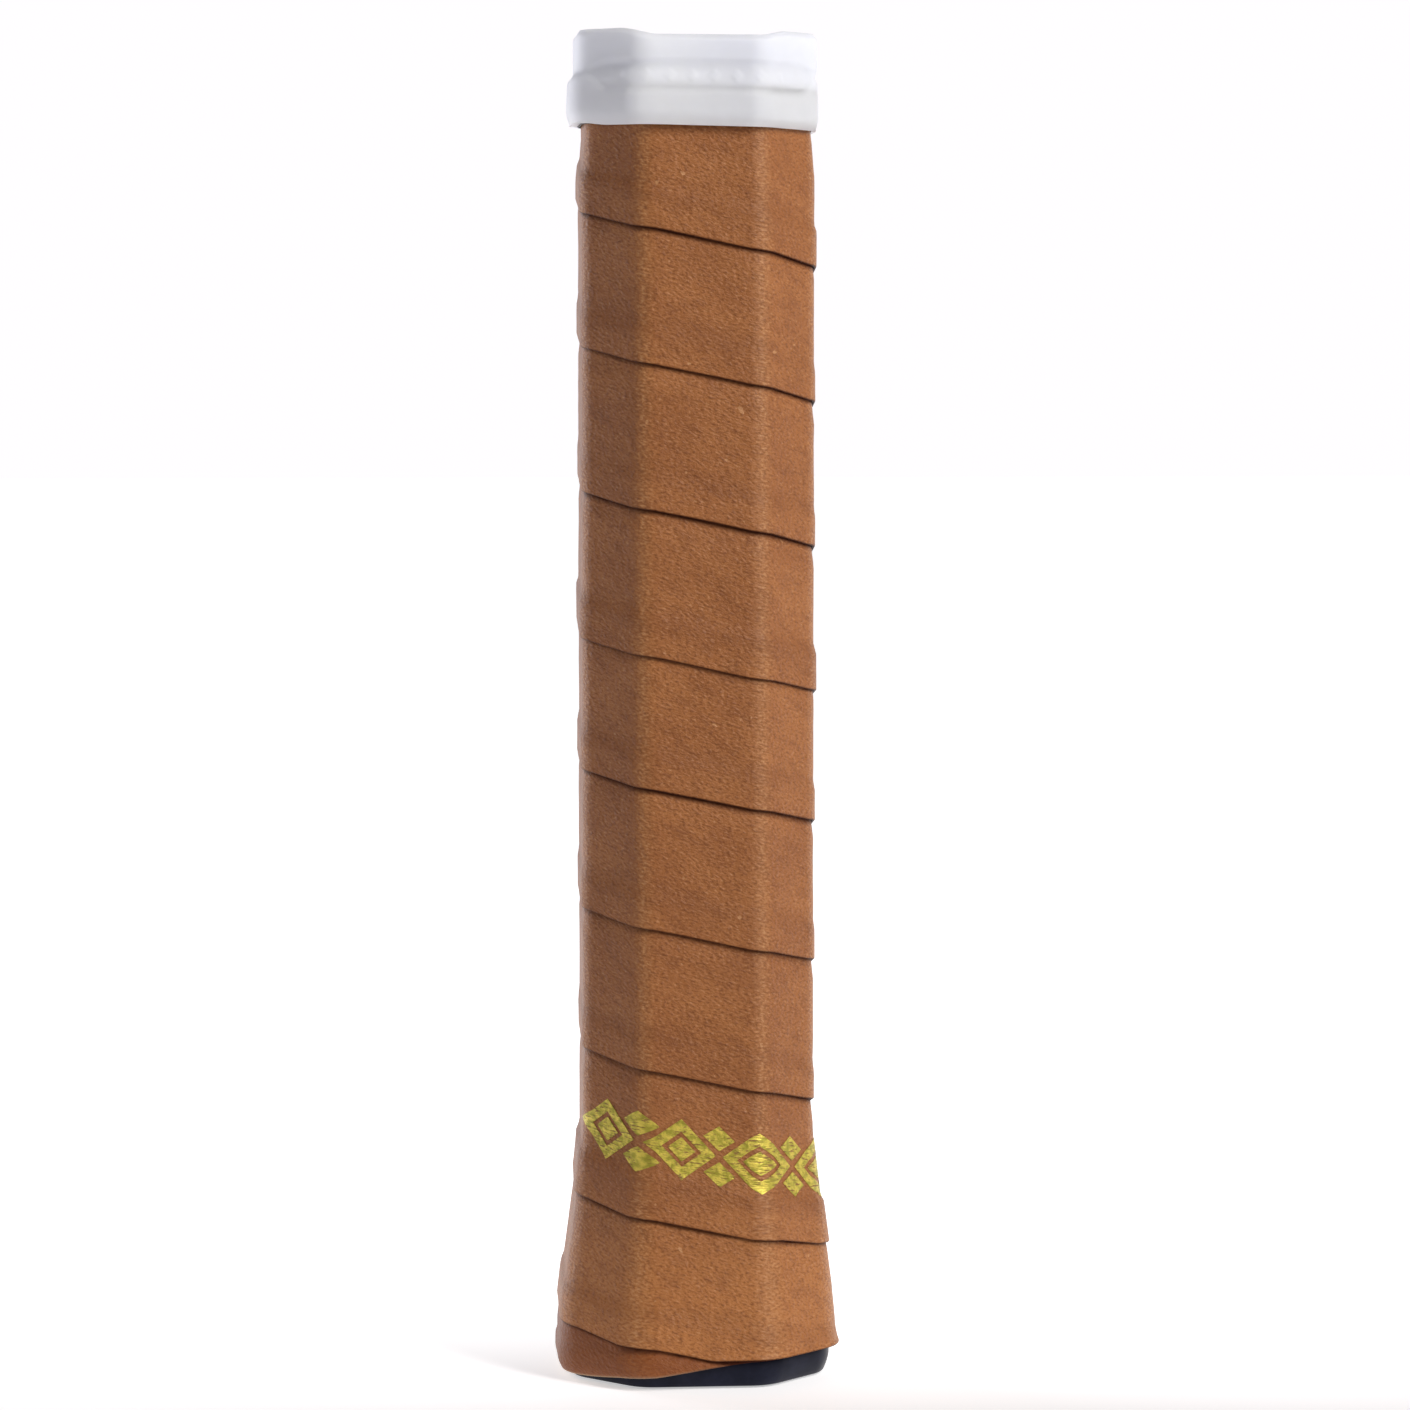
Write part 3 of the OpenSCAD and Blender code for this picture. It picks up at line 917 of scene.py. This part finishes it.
def camera():
    side, back = math.sin(VIEW_AZIMUTH), math.cos(VIEW_AZIMUTH)
    data = bpy.data.cameras.new("view")
    data.lens = LENS
    data.sensor_width = SENSOR
    made = bpy.data.objects.new("view", data)
    bpy.context.scene.collection.objects.link(made)
    made.location = (side * VIEW_DISTANCE, -back * VIEW_DISTANCE, EYE_HEIGHT)
    aim = Vector((back * AIM_RIGHT, side * AIM_RIGHT, AIM_HEIGHT))
    made.rotation_euler = (aim - made.location).to_track_quat("-Z", "Y").to_euler()
    bpy.context.scene.camera = made


def softbox(name, place, size, power, tint):
    """A rectangular lamp turned to the middle of the handle."""
    data = bpy.data.lights.new(name, "AREA")
    data.shape = "RECTANGLE"
    data.size, data.size_y = size
    data.energy = power
    data.color = tint
    made = bpy.data.objects.new(name, data)
    bpy.context.scene.collection.objects.link(made)
    made.location = place
    made.rotation_euler = (Vector((0, 0, 0.1)) - made.location).to_track_quat("-Z", "Y").to_euler()


def slope(tree, value, source, target):
    """A smooth ramp from one range onto another, in the world's nodes."""
    made = tree.nodes.new("ShaderNodeMapRange")
    made.interpolation_type = "SMOOTHSTEP"
    made.inputs["From Min"].default_value = source[0]
    made.inputs["From Max"].default_value = source[1]
    made.inputs["To Min"].default_value = target[0]
    made.inputs["To Max"].default_value = target[1]
    tree.links.new(value, made.inputs["Value"])
    return made.outputs[0]


def studio_world():
    """White behind the object, dimmer towards the front, as a lit cove is."""
    world = bpy.data.worlds.new("studio")
    bpy.context.scene.world = world
    world.use_nodes = True
    tree = world.node_tree
    back = tree.nodes["Background"]
    point = tree.nodes.new("ShaderNodeTexCoord")
    split = tree.nodes.new("ShaderNodeSeparateXYZ")
    tree.links.new(point.outputs["Generated"], split.inputs[0])
    behind = slope(tree, split.outputs["Y"], (-0.2, 0.6), (0, 1))
    low_down = slope(tree, split.outputs["Z"], (0.12, 0.5), (1, 0))
    cove = tree.nodes.new("ShaderNodeMath")
    cove.operation = "MULTIPLY"
    tree.links.new(behind, cove.inputs[0])
    tree.links.new(low_down, cove.inputs[1])
    level = slope(tree, cove.outputs[0], (0, 1), (0.15, 1.02))
    tree.links.new(level, back.inputs["Strength"])
    back.inputs["Color"].default_value = color(1.0, 0.97, 1.0)


GROUND_REACH = 6.0
GROUND_Z = -0.0003


def floor():
    """A pale floor just under the foot, which glows towards the back."""
    g = Graph("pale_floor")
    place = g.object_mm()
    tone = g.noise(place, 0.004, 2)
    g.set(Base_Color=g.mix(tone, color(0.80, 0.79, 0.81), color(0.83, 0.82, 0.84)))
    g.shader.inputs["Roughness"].default_value = 0.7
    g.shader.inputs["Emission Color"].default_value = color(1, 1, 1)
    depth = g.node("SeparateXYZ", {"Vector": place}).outputs["Y"]
    glow = g.ramp(depth, -90, 50)
    g.set(Emission_Strength=g.math("MULTIPLY", glow, 0.85))
    mesh = bpy.data.meshes.new("floor")
    reach, z = GROUND_REACH, GROUND_Z
    mesh.from_pydata([(-reach, -reach, z), (reach, -reach, z), (reach, reach, z),
                      (-reach, reach, z)], [], [(0, 1, 2, 3)])
    mesh.materials.append(g.material)
    made = bpy.data.objects.new("floor", mesh)
    bpy.context.scene.collection.objects.link(made)


bpy.context.scene.view_settings.view_transform = "Standard"
camera()
studio_world()
floor()
softbox("key", (0.70, -0.67, 0.72), (0.30, 0.7), 13, (1.0, 0.97, 0.93))
softbox("strip", (-0.92, -0.48, 0.30), (0.05, 0.9), 1.3, (1.0, 0.94, 0.98))
softbox("rim", (-0.62, 0.55, 0.22), (0.3, 0.8), 2.6, (0.93, 0.92, 1.0))
grip_strip()
foil_ornament()
collar_shell()
cap_shell()
dress_cad_nodes()
